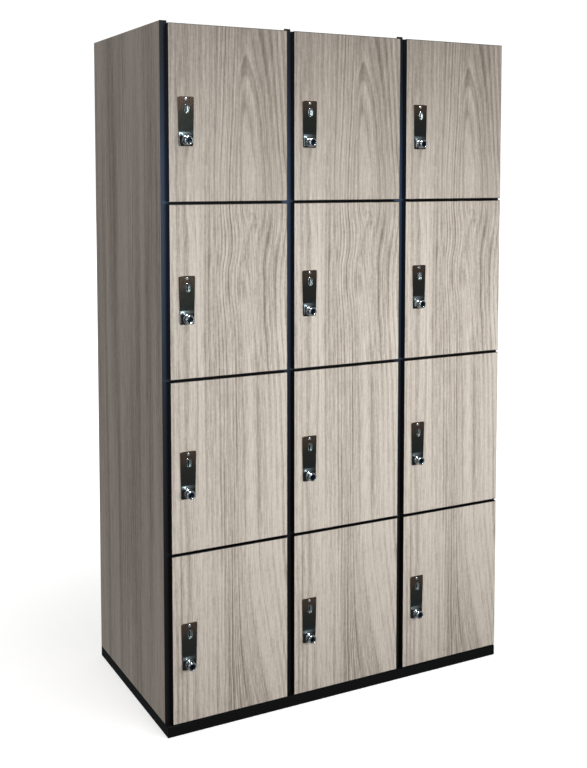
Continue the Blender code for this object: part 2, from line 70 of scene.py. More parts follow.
COLUMNS, TIERS = 3, 4
PLACES = [(c, t) for c in range(1, COLUMNS + 1) for t in range(1, TIERS + 1)]

# ---------------------------------------------------------------- reference
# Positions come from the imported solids.
door_low, door_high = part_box("door_c1_t1")
DOOR_W = door_high.x - door_low.x
DOOR_H = door_high.z - door_low.z
DOOR_T = door_high.y - door_low.y
FACE_Y = door_low.y
FIRST_X = door_low.x
STACK_TOP = door_high.z
PITCH_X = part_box("door_c2_t1")[0].x - door_low.x
PITCH_Z = door_low.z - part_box("door_c1_t2")[0].z
LAST_X = FIRST_X + (COLUMNS - 1) * PITCH_X
HINGE = {j["child"]: Vector(j["pos_m"]) for j in frame["joints"] if j["name"].startswith("door_hinge")}
LOCK = {j["parent"]: Vector(j["pos_m"]) for j in frame["joints"] if j["name"].startswith("lock_turn")}


# ------------------------------------------------------------ shader helpers
class Value:
    """A socket in a node tree, with arithmetic."""

    def __init__(self, tree, socket):
        self.tree, self.socket = tree, socket

    def _math(self, op, *others, clamp=False):
        node = self.tree.nodes.new("ShaderNodeMath")
        node.operation = op
        node.use_clamp = clamp
        for i, item in enumerate((self, *others)):
            if isinstance(item, Value):
                self.tree.links.new(item.socket, node.inputs[i])
            else:
                node.inputs[i].default_value = item
        return Value(self.tree, node.outputs[0])

    def __add__(self, o):
        return self._math("ADD", o)

    def __sub__(self, o):
        return self._math("SUBTRACT", o)

    def __mul__(self, o):
        return self._math("MULTIPLY", o)

    def __truediv__(self, o):
        return self._math("DIVIDE", o)

    def __neg__(self):
        return self._math("MULTIPLY", -1.0)

    def abs(self):
        return self._math("ABSOLUTE")

    def sqrt(self):
        return self._math("SQRT")

    def floor(self):
        return self._math("FLOOR")

    def fract(self):
        return self._math("FRACT")

    def sine(self):
        return self._math("SINE")

    def max(self, o):
        return self._math("MAXIMUM", o)

    def min(self, o):
        return self._math("MINIMUM", o)

    def power(self, o):
        return self._math("POWER", o)

    def less(self, o):
        return self._math("LESS_THAN", o)

    def greater(self, o):
        return self._math("GREATER_THAN", o)

    def clamp(self):
        return self._math("MULTIPLY", 1.0, clamp=True)

    def steps(self, low, high, to_low=0.0, to_high=1.0, smooth=True):
        node = self.tree.nodes.new("ShaderNodeMapRange")
        node.interpolation_type = "SMOOTHSTEP" if smooth else "LINEAR"
        self.tree.links.new(self.socket, node.inputs["Value"])
        node.inputs["From Min"].default_value = low
        node.inputs["From Max"].default_value = high
        node.inputs["To Min"].default_value = to_low
        node.inputs["To Max"].default_value = to_high
        return Value(self.tree, node.outputs["Result"])

    def curve(self, points, low, high):
        """A piecewise curve of this value through (in, out) points."""
        span = high - low
        x0, x1 = points[0][0], points[-1][0]
        node = self.tree.nodes.new("ShaderNodeFloatCurve")
        line = node.mapping.curves[0]
        while len(line.points) < len(points):
            line.points.new(0.5, 0.5)
        for p, (a, b) in zip(line.points, points):
            p.location = ((a - x0) / (x1 - x0), (b - low) / span)
            p.handle_type = "AUTO_CLAMPED"
        node.mapping.update()
        scaled = (self - x0) / (x1 - x0)
        self.tree.links.new(scaled.socket, node.inputs["Value"])
        return Value(self.tree, node.outputs["Value"]) * span + low


class Material:
    """A Principled material and its node tree."""

    def __init__(self, name, roughness=0.5, metallic=0.0, colour=(0.5, 0.5, 0.5)):
        self.mat = bpy.data.materials.new(name)
        self.mat.use_nodes = True
        self.tree = self.mat.node_tree
        self.shader = self.tree.nodes["Principled BSDF"]
        self.set("Base Color", (*colour, 1.0))
        self.set("Roughness", roughness)
        self.set("Metallic", metallic)
        self.mat.diffuse_color = (*colour, 1.0)

    def node(self, kind, **settings):
        node = self.tree.nodes.new(kind)
        for key, value in settings.items():
            setattr(node, key, value)
        return node

    def set(self, name, value):
        if isinstance(value, Value):
            self.tree.links.new(value.socket, self.shader.inputs[name])
        elif isinstance(value, bpy.types.NodeSocket):
            self.tree.links.new(value, self.shader.inputs[name])
        else:
            self.shader.inputs[name].default_value = value

    def value(self, socket):
        return Value(self.tree, socket)

    def position(self):
        node = self.node("ShaderNodeTexCoord")
        split = self.node("ShaderNodeSeparateXYZ")
        self.tree.links.new(node.outputs["Object"], split.inputs[0])
        return [self.value(split.outputs[i]) for i in range(3)]

    def normal(self):
        node = self.node("ShaderNodeTexCoord")
        split = self.node("ShaderNodeSeparateXYZ")
        self.tree.links.new(node.outputs["Normal"], split.inputs[0])
        return [self.value(split.outputs[i]) for i in range(3)]

    def join(self, x, y, z):
        node = self.node("ShaderNodeCombineXYZ")
        for i, item in enumerate((x, y, z)):
            if isinstance(item, Value):
                self.tree.links.new(item.socket, node.inputs[i])
            else:
                node.inputs[i].default_value = item
        return node.outputs[0]

    def noise(self, x, y, z=0.0, detail=2.0, rough=0.5, distortion=0.0):
        node = self.node("ShaderNodeTexNoise", noise_dimensions="3D")
        self.tree.links.new(self.join(x, y, z), node.inputs["Vector"])
        node.inputs["Scale"].default_value = 1.0
        node.inputs["Detail"].default_value = detail
        node.inputs["Roughness"].default_value = rough
        node.inputs["Distortion"].default_value = distortion
        return self.value(node.outputs["Fac"])

    def mix(self, factor, a, b):
        node = self.node("ShaderNodeMix", data_type="RGBA")
        if isinstance(factor, Value):
            self.tree.links.new(factor.socket, node.inputs["Factor"])
        else:
            node.inputs["Factor"].default_value = factor
        for socket, item in ((node.inputs[6], a), (node.inputs[7], b)):
            if isinstance(item, bpy.types.NodeSocket):
                self.tree.links.new(item, socket)
            else:
                socket.default_value = (*item, 1.0)
        return node.outputs[2]

    def ramp(self, factor, stops):
        node = self.node("ShaderNodeValToRGB")
        self.tree.links.new(factor.socket, node.inputs[0])
        elements = node.color_ramp.elements
        while len(elements) < len(stops):
            elements.new(0.5)
        for e, (at, colour) in zip(elements, stops):
            e.position = at
            e.color = (*colour, 1.0)
        return node.outputs[0]

    def bump(self, height, strength, distance):
        node = self.node("ShaderNodeBump")
        node.inputs["Strength"].default_value = strength
        node.inputs["Distance"].default_value = distance
        self.tree.links.new(height.socket, node.inputs["Height"])
        self.tree.links.new(node.outputs[0], self.shader.inputs["Normal"])


# ----------------------------------------------------------------- materials
def grain_line(m, coordinate, height, seed, low=0.30, high=0.82):
    """Growth lines at whole numbers of a coordinate: each darkens slowly and
    ends sharply, and some are stronger than others."""
    phase = coordinate.fract()
    line = phase.steps(low, high) * phase.steps(high + 0.02, 1.0, 1.0, 0.0)
    strength = m.noise(coordinate.floor() * 3.7, height * 1.7, seed, detail=1.0).steps(0.36, 0.66, 0.15, 1.0)
    return line * strength


def soft_line(m, coordinate, height, seed, weakest=0.2):
    """Broad growth lines, soft on both sides, each fading in and out."""
    phase = coordinate.fract()
    line = phase.steps(0.08, 0.46) * phase.steps(0.54, 0.94, 1.0, 0.0)
    strength = m.noise(coordinate.floor() * 5.3, height * 1.3, seed, detail=1.0).steps(0.33, 0.60, weakest, 1.0)
    return line * strength


def laminate_door():
    """Greige wood laminate with an upright cathedral figure that runs down a
    whole column of doors, and black edge banding. Painted shade darkens the
    top of the stack, and painted blue light lies on the edges by the frame."""
    m = Material("door_laminate", colour=(0.52, 0.46, 0.40))
    x, _y, z = m.position()
    along = x - FIRST_X
    column = (along / PITCH_X + 0.02).floor()
    u = along - column * PITCH_X                 # 0 at the lock edge, metres
    h = -(z - STACK_TOP)                         # 0 at the top of the stack

    # slow wander of the fibres, then a finer shake
    wander = m.noise(u * 6.0, h * 1.3, 3.1, detail=2.0) - 0.5
    quiver = m.noise(u * 50.0, h * 9.0, 7.7, detail=2.0) - 0.5
    tremble = m.noise(u * 210.0, h * 36.0, 2.7, detail=1.0) - 0.5
    u1 = u + wander * 0.014 + quiver * 0.0026 + tremble * 0.0012

    # lower down, the right half leans outwards
    lean = h.curve([(0, 0), (0.50, 0.004), (0.80, 0.0), (1.15, 0.008), (1.40, 0.020), (1.60, 0.045), (1.83, 0.076)], 0.0, 0.12)
    us = u1 - lean * u1.steps(0.145, 0.305)
    # the middle lines lean left going down the top door, and swell at the
    # height of the second lock
    sway = h.curve([(0, -0.008), (0.20, 0.0), (0.45, 0.008), (0.56, 0.0), (0.66, 0.011), (0.76, 0.004), (0.95, 0.0), (1.83, 0.0)], -0.01, 0.016)
    us = us + sway * u1.steps(0.10, 0.17) * u1.steps(0.20, 0.26, 1.0, 0.0)
    # small forks open in the straight lines under the locks
    fork = h.curve([(0, 0), (0.27, 0.0), (0.40, 0.011), (0.58, 0.002), (0.95, 0.0), (1.22, 0.009), (1.45, 0.0), (1.72, 0.011), (1.83, 0.012)], 0.0, 0.012)
    us = us + fork * (u1.steps(0.020, 0.050) - u1.steps(0.050, 0.085))

    # the cathedral: nested arches in the two upper doors, whose legs run on
    # down the board as nearly straight lines
    heart = h.curve([(0, 0.214), (0.15, 0.215), (0.30, 0.220), (0.45, 0.228), (0.58, 0.218), (0.70, 0.210),
                     (0.85, 0.216), (1.05, 0.222), (1.30, 0.220), (1.55, 0.216), (1.83, 0.218)], 0.20, 0.24)
    depth = h.curve([(0, 0.058), (0.05, 0.051), (0.10, 0.042), (0.15, 0.031), (0.22, 0.020), (0.32, 0.011), (0.42, 0.007),
                     (0.50, 0.016), (0.57, 0.024), (0.66, 0.012), (0.76, 0.006), (0.90, 0.005), (1.10, 0.006),
                     (1.30, 0.008), (1.55, 0.006), (1.83, 0.005)], 0.0, 0.06)
    dx = us - heart
    dist = dx.max(dx * -1.35)
    rho = (dist * dist + depth * depth).sqrt()
    ring = rho / 0.0165 + (m.noise(us * 14.0, h * 1.7, 1.3, detail=2.0) - 0.5) * 1.1
    arches = soft_line(m, ring, h, 9.0, 0.30)
    between = grain_line(m, ring * 2.37 + 0.4, h, 5.0, 0.25, 0.75)

    # straight lines: broad by the lock, close together in the middle
    count = us.curve([(-0.04, -2.3), (0.0, 0.0), (0.12, 6.6), (0.15, 9.4), (0.20, 15.0), (0.24, 18.0), (0.36, 24.5)], -3.0, 25.0)
    broad = soft_line(m, count + (m.noise(us * 22.0, h * 0.55, 8.8, detail=2.0) - 0.5) * 1.9, h, 2.0, 0.24)
    hair = grain_line(m, us / 0.0034 + (m.noise(us * 60.0, h * 1.6, 6.1, detail=2.0) - 0.5) * 2.8, h, 7.0)

    middle = u1.steps(0.125, 0.150) * u1.steps(0.205, 0.230, 1.0, 0.0)
    figured = u1.steps(0.188, 0.214)
    straight = -(figured - 1.0)
    heartwood = rho.steps(0.006, 0.016)          # the heart itself is plain

    # fibres: short dashes at three scales
    dash = m.noise(u1 * 300.0, h * 14.0, 0.0, detail=2.0, rough=0.55)
    fibre = m.noise(u1 * 720.0, h * 24.0, 1.0, detail=2.0, rough=0.6)
    mottle = m.noise(u1 * 150.0, h * 95.0, 6.0, detail=2.0, rough=0.6)
    cloud = m.noise(us * 17.0, h * 0.9, 2.2, detail=2.0)
    knot = m.noise(u1 * 60.0, h * 42.0, 12.0, detail=2.0).steps(0.50, 0.72)
    knot = knot * u1.steps(0.205, 0.225) * u1.steps(0.240, 0.262, 1.0, 0.0) * h.steps(0.44, 0.48) * h.steps(0.50, 0.57, 1.0, 0.0)

    tone = broad * straight * (middle * 0.12 + 0.42)
    tone = tone + hair * (middle * 0.34 + straight * 0.22 + 0.20)
    tone = tone + arches * figured * heartwood * 0.46 + between * figured * heartwood * 0.22
    tone = tone + cloud.steps(0.30, 0.72, -0.10, 0.26) + knot * 0.24
    tone = tone + (dash - 0.5) * 1.10 + (fibre - 0.5) * 0.86 + (mottle - 0.5) * 0.52
    # the print is a little stronger from the second door down
    tone = (tone - 0.28) * h.curve([(0, 0.93), (0.42, 0.93), (0.50, 1.22), (0.90, 1.22), (0.96, 1.05), (1.36, 1.05), (1.42, 1.10), (1.83, 1.10)], 0.9, 1.25) + 0.28
    # painted shade: the laminate is darker at the top of the stack, fading out by the middle, and a little darker again
    # at its foot
    tone = tone + h.curve([(0, 0.40), (0.12, 0.30), (0.30, 0.14), (0.46, 0.04), (0.70, 0.0), (1.35, 0.0), (1.62, 0.06), (1.83, 0.13)], 0.0, 0.45)

    wood = m.ramp((tone * 0.72 + 0.115).clamp(), [
        (0.00, (0.700, 0.628, 0.556)),
        (0.22, (0.615, 0.543, 0.474)),
        (0.50, (0.450, 0.388, 0.332)),
        (0.80, (0.300, 0.252, 0.212)),
        (1.00, (0.205, 0.170, 0.142)),
    ])
    nx, ny, nz = m.normal()
    face = ny.abs().steps(0.72, 0.93)
    # a 1.5 mm black strip at the top and bottom of each face: black edge banding, drawn wide as painted shade that
    # thickens the dark gaps between the doors
    v = h - (h / PITCH_Z + 0.003).floor() * PITCH_Z
    face = face * v.steps(0.0013, 0.0018) * v.steps(DOOR_H - 0.0018, DOOR_H - 0.0013, 1.0, 0.0)
    # edge banding: black; on the side edges back towards the frame, painted blue light, strongest near the top of the
    # stack and gone at its foot
    deep = _y.steps(FACE_Y + 0.004, FACE_Y + 0.010) * nx.abs().steps(0.6, 0.9)
    painted_frame_light = deep * h.curve([(0, 0.75), (0.30, 1.0), (0.75, 0.85), (1.05, 0.45), (1.40, 0.08), (1.83, 0.0)], 0.0, 1.0)
    banding = m.mix(painted_frame_light, (0.0045, 0.0045, 0.0060), (0.0200, 0.0330, 0.0660))
    m.set("Base Color", m.mix(face, banding, wood))
    m.set("Roughness", face * (tone * 0.12 + 0.42) + (-(face - 1.0)) * 0.46)
    m.shader.inputs["Specular IOR Level"].default_value = 0.38
    m.bump((tone * -0.5 + fibre * -0.4) * face, 0.22, 0.0004)
    return m.mat


def laminate_end():
    """The same laminate on the end panels and the top, in straight grain."""
    m = Material("end_laminate", colour=(0.45, 0.40, 0.35))
    x, y, z = m.position()
    nx, ny, nz = m.normal()
    upright = nz.abs().steps(0.4, 0.6, 1.0, 0.0)
    run = z * upright + x * (-(upright - 1.0))       # along the grain
    across = y + 0.45
    wander = m.noise(across * 5.0, run * 1.1, 1.0, detail=2.0) - 0.5
    quiver = m.noise(across * 50.0, run * 8.0, 2.0, detail=2.0) - 0.5
    a = across + wander * 0.020 + quiver * 0.0026
    broad = m.noise(a * 30.0, run * 0.50, 4.0, detail=1.0, rough=0.4).steps(0.50, 0.72)
    thin = grain_line(m, a / 0.0098 + (m.noise(a * 24.0, run * 0.8, 8.8, detail=2.0) - 0.5) * 3.0, run, 2.0)
    hair = grain_line(m, a / 0.0037 + (m.noise(a * 55.0, run * 1.6, 6.1, detail=2.0) - 0.5) * 3.0, run, 7.0)
    cloud = m.noise(a * 11.0, run * 0.8, 2.2, detail=2.0)
    dash = m.noise(a * 300.0, run * 14.0, 0.0, detail=2.0, rough=0.55)
    fibre = m.noise(a * 720.0, run * 24.0, 1.0, detail=2.0, rough=0.6)
    mottle = m.noise(a * 150.0, run * 80.0, 6.0, detail=2.0, rough=0.6)
    tone = broad * 0.30 + thin * 0.56 + hair * 0.44 + cloud.steps(0.3, 0.72, -0.16, 0.24)
    tone = tone + (dash - 0.5) * 1.00 + (fibre - 0.5) * 0.80 + (mottle - 0.5) * 0.50
    wood = m.ramp((tone * 0.80 + 0.10).clamp(), [
        (0.00, (0.640, 0.566, 0.500)),
        (0.25, (0.545, 0.478, 0.418)),
        (0.55, (0.400, 0.345, 0.296)),
        (0.80, (0.285, 0.240, 0.202)),
        (1.00, (0.200, 0.166, 0.139)),
    ])
    # wood outside, black laminate towards the compartments, black edges
    outward = x * nx * 4.0 + nz.max(0.0)
    outer = outward.steps(0.72, 0.93)
    speck = m.noise(x * 9.0, y * 9.0, z * 9.0, detail=4.0, rough=0.6)
    black = m.mix(speck, (0.012, 0.013, 0.016), (0.030, 0.031, 0.036))
    m.set("Base Color", m.mix(outer, black, wood))
    m.set("Roughness", tone * 0.12 + 0.46)
    m.shader.inputs["Specular IOR Level"].default_value = 0.30
    m.bump(tone * -0.5 + fibre * -0.4, 0.20, 0.0004)
    return m.mat


def inner_board():
    """Black laminate of the compartments: a fine leathery press."""
    m = Material("inner_laminate", roughness=0.55, colour=(0.03, 0.031, 0.035))
    x, y, z = m.position()
    cell = m.node("ShaderNodeTexVoronoi", feature="SMOOTH_F1")
    m.tree.links.new(m.join(x * 420.0, y * 420.0, z * 420.0), cell.inputs["Vector"])
    pebble = m.value(cell.outputs["Distance"])
    dust = m.noise(x * 9.0, y * 9.0, z * 9.0, detail=4.0, rough=0.6)
    m.set("Base Color", m.mix(dust, (0.020, 0.021, 0.025), (0.048, 0.049, 0.054)))
    m.set("Roughness", dust * 0.18 + pebble * 0.12 + 0.44)
    m.bump(pebble, 0.16, 0.0003)
    return m.mat


def frame_paint():
    """Dark powder coat on the face frame, with painted blue light on the uprights seen between the doors."""
    m = Material("frame_paint", roughness=0.34, colour=(0.014, 0.018, 0.030))
    x, y, z = m.position()
    peel = m.noise(x * 900.0, y * 900.0, z * 900.0, detail=2.0)
    patch = m.noise(x * 14.0, y * 14.0, z * 5.0, detail=3.0)
    # painted light: a blue sheen by height, none low down, strongest about 1.45 m up
    painted_light = z.curve([(0, 0.0), (0.30, 0.0), (0.46, 0.02), (0.67, 0.09), (0.88, 0.22), (1.06, 0.46), (1.19, 0.62), (1.32, 0.82),
                    (1.455, 0.90), (1.585, 0.64), (1.715, 0.32), (1.81, 0.16), (1.87, 0.12)], 0.0, 1.0)
    beside = x - FIRST_X + 0.011
    beside = (beside - (beside / PITCH_X + 0.5).floor() * PITCH_X).abs()
    # the painted light falls only on the uprights seen in the gaps between doors, not on the last upright
    painted_light = painted_light * beside.steps(0.0145, 0.0190, 1.0, 0.0) * x.steps(LAST_X + 0.29, LAST_X + 0.31, 1.0, 0.0)
    dark = m.mix(patch, (0.0128, 0.0124, 0.0126), (0.0165, 0.0158, 0.0160))
    blue = m.mix(patch, (0.0500, 0.0800, 0.1420), (0.0600, 0.0950, 0.1680))
    m.set("Base Color", m.mix(painted_light, dark, blue))
    m.set("Roughness", peel * 0.08 + patch * 0.06 + 0.36)
    m.shader.inputs["Specular IOR Level"].default_value = 0.16
    m.bump(peel, 0.10, 0.0002)
    return m.mat


def plinth_paint():
    m = Material("plinth_black", roughness=0.5, colour=(0.006, 0.006, 0.007))
    x, y, z = m.position()
    grain = m.noise(x * 40.0, y * 40.0, z * 500.0, detail=3.0, rough=0.6)
    scuff = m.noise(x * 22.0, y * 22.0, z * 90.0, detail=4.0, rough=0.7).steps(0.60, 0.78)
    m.set("Base Color", m.mix(scuff * 0.5, (0.0045, 0.0045, 0.0050), (0.014, 0.014, 0.014)))
    m.set("Roughness", grain * 0.14 + scuff * 0.15 + 0.50)
    m.shader.inputs["Specular IOR Level"].default_value = 0.12
    m.bump(grain, 0.10, 0.0003)
    return m.mat


def hinge_steel():
    m = Material("hinge_steel", roughness=0.36, metallic=0.7, colour=(0.030, 0.031, 0.036))
    x, y, z = m.position()
    rub = m.noise(x * 260.0, y * 260.0, z * 60.0, detail=3.0)
    wear = m.noise(x * 60.0, y * 60.0, z * 30.0, detail=4.0, rough=0.7).steps(0.60, 0.75)
    m.set("Base Color", m.mix(wear * 0.6, (0.018, 0.019, 0.023), (0.085, 0.086, 0.090)))
    m.set("Roughness", rub * 0.16 + 0.30)
    m.bump(rub, 0.06, 0.0002)
    return m.mat


def lock_local(m):
    """Offsets from the lock's own axis, the same on every door."""
    x, y, z = m.position()
    lock = LOCK["door_c1_t1"]
    dx, dz = x - lock.x, z - lock.z
    dx = dx - (dx / PITCH_X + 0.5).floor() * PITCH_X
    dz = dz - (dz / PITCH_Z + 0.5).floor() * PITCH_Z
    return dx, y - FACE_Y, dz


def lock_plate():
    """Dark mirror plate, with painted reflection in its colour: warm at its head, green black in the middle, a lighter
    painted highlight above the foot.
    """
    m = Material("lock_plate", roughness=0.12, metallic=1.0, colour=(0.05, 0.045, 0.04))
    dx, dy, dz = lock_local(m)
    down = (-(dz - 0.1115)) / 0.126                   # 0 at the top, 1 at the foot
    mottled = m.noise(dx * 45.0, dy * 45.0, dz * 30.0, detail=3.0) - 0.5
    # painted reflection: the dark plating's colour changes down the plate for the surroundings it reflects
    painted_reflection = m.ramp((down + mottled * 0.16).clamp(), [
        (0.00, (0.230, 0.165, 0.120)),
        (0.18, (0.180, 0.135, 0.105)),
        (0.36, (0.095, 0.095, 0.080)),
        (0.66, (0.072, 0.082, 0.074)),
        (0.80, (0.110, 0.135, 0.135)),
        (1.00, (0.060, 0.064, 0.064)),
    ])
    m.set("Base Color", painted_reflection)
    brush = m.noise(dx * 420.0, dy * 420.0, dz * 26.0, detail=2.0)
    smear = m.noise(dx * 70.0, dy * 70.0, dz * 55.0, detail=4.0, rough=0.6)
    m.set("Roughness", brush * 0.05 + smear * 0.10 + 0.09)
    m.bump(brush, 0.03, 0.0001)
    return m.mat


def lock_foot():
    """The pressed foot: the same plating, drawn and brushed by the press, with a painted highlight streak on its ramp.
    """
    m = Material("lock_foot", roughness=0.26, metallic=1.0, colour=(0.16, 0.19, 0.19))
    dx, dy, dz = lock_local(m)
    # painted highlight: the ramp is lighter in colour, fading towards the right, for the bright streak it shows
    ramp = dz.steps(0.0105, 0.0150) * dz.steps(0.0205, 0.0225, 1.0, 0.0)
    drawn = m.noise(dx * 60.0, dy * 60.0, dz * 380.0, detail=3.0)
    ramp = ramp * dx.steps(-0.006, 0.014, 1.0, 0.22)
    m.set("Base Color", m.mix(ramp, (0.060, 0.066, 0.066), (0.42, 0.49, 0.50)))
    m.set("Roughness", ramp * 0.10 + drawn * 0.08 + 0.13)
    m.bump(drawn, 0.05, 0.0001)
    return m.mat


def chrome(name, colour=(0.80, 0.83, 0.86), rough=0.09):
    m = Material(name, roughness=rough, metallic=1.0, colour=colour)
    dx, dy, dz = lock_local(m)
    turn = m.noise(dy * 2600.0, dx * 20.0, dz * 20.0, detail=2.0)
    haze = m.noise(dx * 160.0, dy * 160.0, dz * 160.0, detail=3.0)
    m.set("Base Color", m.mix(haze, tuple(c * 0.86 for c in colour), colour))
    m.set("Roughness", turn * 0.05 + haze * 0.06 + rough - 0.03)
    m.bump(turn, 0.04, 0.00008)
    return m.mat


def plug_metal():
    """Dark blue steel of the plug's face, with turning rings."""
    m = Material("plug_steel", roughness=0.22, metallic=1.0, colour=(0.05, 0.07, 0.10))
    dx, dy, dz = lock_local(m)
    r = (dx * dx + dz * dz).sqrt()
    rings = (r * 9000.0).sine() * 0.5 + 0.5
    haze = m.noise(dx * 240.0, dy * 240.0, dz * 240.0, detail=3.0)
    m.set("Base Color", m.mix(haze, (0.008, 0.012, 0.019), (0.030, 0.044, 0.064)))
    m.set("Roughness", rings * 0.07 + haze * 0.10 + 0.16)
    m.bump(rings, 0.05, 0.00005)
    return m.mat


def zinc_case():
    """Plated steel of the coin case and cam behind the door."""
    m = Material("zinc_case", roughness=0.34, metallic=1.0, colour=(0.42, 0.42, 0.41))
    dx, dy, dz = lock_local(m)
    flake = m.node("ShaderNodeTexVoronoi", feature="F1")
    m.tree.links.new(m.join(dx * 260.0, dy * 260.0, dz * 260.0), flake.inputs["Vector"])
    spangle = m.value(flake.outputs["Distance"])
    haze = m.noise(dx * 60.0, dy * 60.0, dz * 60.0, detail=4.0, rough=0.6)
    m.set("Base Color", m.mix(spangle * 0.6 + haze * 0.4, (0.30, 0.30, 0.29), (0.52, 0.52, 0.50)))
    m.set("Roughness", spangle * 0.16 + haze * 0.16 + 0.24)
    m.bump(haze, 0.06, 0.0002)
    return m.mat


def slot_black():
    m = Material("slot_black", roughness=0.6, colour=(0.006, 0.006, 0.006))
    dx, dy, dz = lock_local(m)
    soot = m.noise(dx * 300.0, dy * 300.0, dz * 300.0, detail=2.0)
    m.set("Base Color", m.mix(soot, (0.002, 0.002, 0.002), (0.010, 0.010, 0.011)))
    m.set("Roughness", soot * 0.2 + 0.5)
    return m.mat


MAT = {
    "door": laminate_door(),
    "end": laminate_end(),
    "inner": inner_board(),
    "frame": frame_paint(),
    "plinth": plinth_paint(),
    "hinge": hinge_steel(),
    "plate": lock_plate(),
    "foot": lock_foot(),
    "chrome": chrome("barrel_chrome", (0.58, 0.64, 0.69), 0.09),
    "screw": chrome("screw_chrome", (0.86, 0.90, 0.92), 0.12),
    "bezel": chrome("bezel_chrome", (0.58, 0.66, 0.66), 0.16),
    "flank": chrome("flank_chrome", (0.36, 0.39, 0.41), 0.24),
    "plug": plug_metal(),
    "zinc": zinc_case(),
    "black": slot_black(),
}


# ---------------------------------------------------------- geometry helpers
def new_object(name, mesh, material, body=None, smooth=32):
    obj = bpy.data.objects.new(name, mesh)
    bpy.context.scene.collection.objects.link(obj)
    mesh.materials.clear()
    mesh.materials.append(material)
    if smooth is not None:
        mesh.shade_smooth()
        mesh.set_sharp_from_angle(angle=radians(smooth))
        # level faces stay level up to their rims
        for face in mesh.polygons:
            if max(abs(c) for c in face.normal) > 0.99998:
                face.use_smooth = False
    if body:
        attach(obj, body)
    return obj


def finish_mesh(bm, name):
    bmesh.ops.recalc_face_normals(bm, faces=bm.faces)
    mesh = bpy.data.meshes.new(name)
    bm.to_mesh(mesh)
    bm.free()
    return mesh


def cube_into(bm, low, high):
    low, high = Vector(low), Vector(high)
    matrix = Matrix.Translation((low + high) / 2) @ Matrix.Diagonal((*(high - low), 1.0))
    return bmesh.ops.create_cube(bm, size=1.0, matrix=matrix)["verts"]


def box_mesh(name, low, high, bevel=0.0, segments=2):
    bm = bmesh.new()
    cube_into(bm, low, high)
    if bevel:
        bmesh.ops.bevel(bm, geom=bm.edges[:], offset=bevel, segments=segments,
                        profile=0.5, affect="EDGES", clamp_overlap=True)
    return finish_mesh(bm, name)


def revolve(name, profile, sides=40, axis="Y"):
    """(radius, along) points turned round an axis through the origin."""
    bm = bmesh.new()
    pts = [(r, a, 0.0) if axis == "Y" else (r, 0.0, a) for r, a in profile]
    verts = [bm.verts.new(p) for p in pts]
    edges = [bm.edges.new(e) for e in zip(verts, verts[1:])]
    bmesh.ops.spin(bm, geom=verts + edges, cent=(0, 0, 0),
                   axis=(0, 1, 0) if axis == "Y" else (0, 0, 1),
                   angle=2 * pi, steps=sides, use_merge=True)
    bmesh.ops.remove_doubles(bm, verts=bm.verts, dist=0.000002)
    return finish_mesh(bm, name)


def arc(cx, cy, radius, start, end, steps):
    return [(cx + radius * cos(start + (end - start) * k / steps),
             cy + radius * sin(start + (end - start) * k / steps))
            for k in range(steps + 1)]


def rounded_outline(corners, radius, steps=6):
    out = []
    for i, corner in enumerate(corners):
        c = Vector(corner)
        a = (Vector(corners[i - 1]) - c).normalized()
        b = (Vector(corners[(i + 1) % len(corners)]) - c).normalized()
        half = a.angle(b) / 2
        centre = c + (a + b).normalized() * (radius / sin(half))
        s = c + a * (radius * cos(half) / sin(half)) - centre
        e = c + b * (radius * cos(half) / sin(half)) - centre
        a0, a1 = atan2(s.y, s.x), atan2(e.y, e.x)
        while a1 - a0 > pi:
            a1 -= 2 * pi
        while a1 - a0 < -pi:
            a1 += 2 * pi
        out += arc(centre.x, centre.y, radius, a0, a1, steps)
    return out


def boolean(mesh, steps, name):
    """mesh with (operation, tool mesh) applied in turn."""
    obj = bpy.data.objects.new(name, mesh)
    bpy.context.scene.collection.objects.link(obj)
    tools = []
    for operation, tool_mesh in steps:
        tool = bpy.data.objects.new(name + "_tool", tool_mesh)
        bpy.context.scene.collection.objects.link(tool)
        mod = obj.modifiers.new("cut", "BOOLEAN")
        mod.operation, mod.solver, mod.object = operation, "EXACT", tool
        tools.append(tool)
    bpy.context.view_layer.update()
    graph = bpy.context.evaluated_depsgraph_get()
    made = bpy.data.meshes.new_from_object(obj.evaluated_get(graph))
    made.name = name
    for item in [obj, *tools]:
        data = item.data
        bpy.data.objects.remove(item, do_unlink=True)
        if data.users == 0:
            bpy.data.meshes.remove(data)
    bm = bmesh.new()
    bm.from_mesh(made)
    bmesh.ops.remove_doubles(bm, verts=bm.verts, dist=0.000002)
    bmesh.ops.dissolve_limit(bm, angle_limit=radians(0.05), verts=bm.verts, edges=bm.edges)
    bmesh.ops.triangulate(bm, faces=[f for f in bm.faces if len(f.verts) > 4])
    bm.to_mesh(made)
    bm.free()
    return made


def moved(mesh, offset, name):
    """A copy of a mesh in another place, in the row frame."""
    copy = mesh.copy()
    copy.name = name
    copy.transform(Matrix.Translation(offset))
    return copy


def softened(node, material, width=0.0008, segments=2):
    """A copy of a CAD board with its hard edges rounded."""
    source = nodes[node]
    bm = bmesh.new()
    bm.from_mesh(source.data)
    bmesh.ops.remove_doubles(bm, verts=bm.verts, dist=0.000002)
    bmesh.ops.dissolve_limit(bm, angle_limit=radians(0.05), verts=bm.verts, edges=bm.edges)
    sharp = [e for e in bm.edges if len(e.link_faces) == 2 and e.calc_face_angle() > radians(60)]
    bmesh.ops.bevel(bm, geom=sharp, offset=width, segments=segments, profile=0.5,
                    affect="EDGES", clamp_overlap=True)
    mesh = finish_mesh(bm, node + "_soft")
    obj = new_object("shown_" + node, mesh, material, source["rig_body"], smooth=40)
    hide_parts(node)
    return obj


